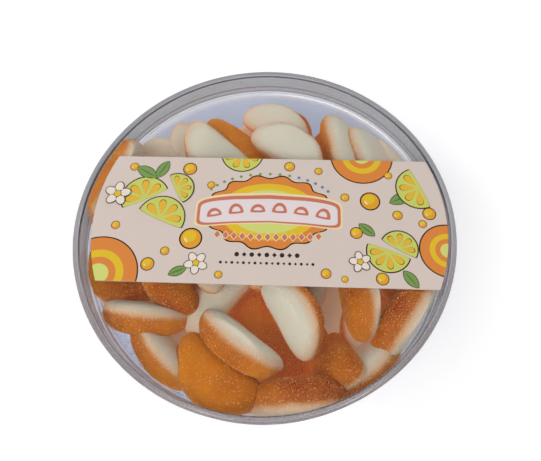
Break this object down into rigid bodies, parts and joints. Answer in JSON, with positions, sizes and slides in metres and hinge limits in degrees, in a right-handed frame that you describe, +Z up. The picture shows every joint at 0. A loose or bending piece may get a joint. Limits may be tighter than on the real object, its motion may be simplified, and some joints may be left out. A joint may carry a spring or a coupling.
{
  "type": "tub of orange segment gummies",
  "caption": "Round shallow tub of clear plastic with a push-on lid and a paper band, filled with half-moon jelly sweets backed with white foam.",
  "frame": {"origin": "under the middle of the tub, on the surface it stands on", "axes": "+Z up through the lid, +X along the paper band, +Y across it towards its upper edge"},
  "size_m": [0.15, 0.15, 0.038],
  "materials": {
    "clear_base": "clear moulded plastic with a faint blue tint, glossy",
    "clear_lid": "clear moulded plastic, glossy, greyer at its rim",
    "label_paper": "smooth printed paper in a warm cream, satin",
    "jelly": "soft orange jelly with a white foam back, coated with fine sugar"
  },
  "bodies": {
    "root": {"tub_base": "clear_base", "tub_lid": "clear_lid", "label": "label_paper", "gummy_heap": "jelly"}
  },
  "joints": []
}
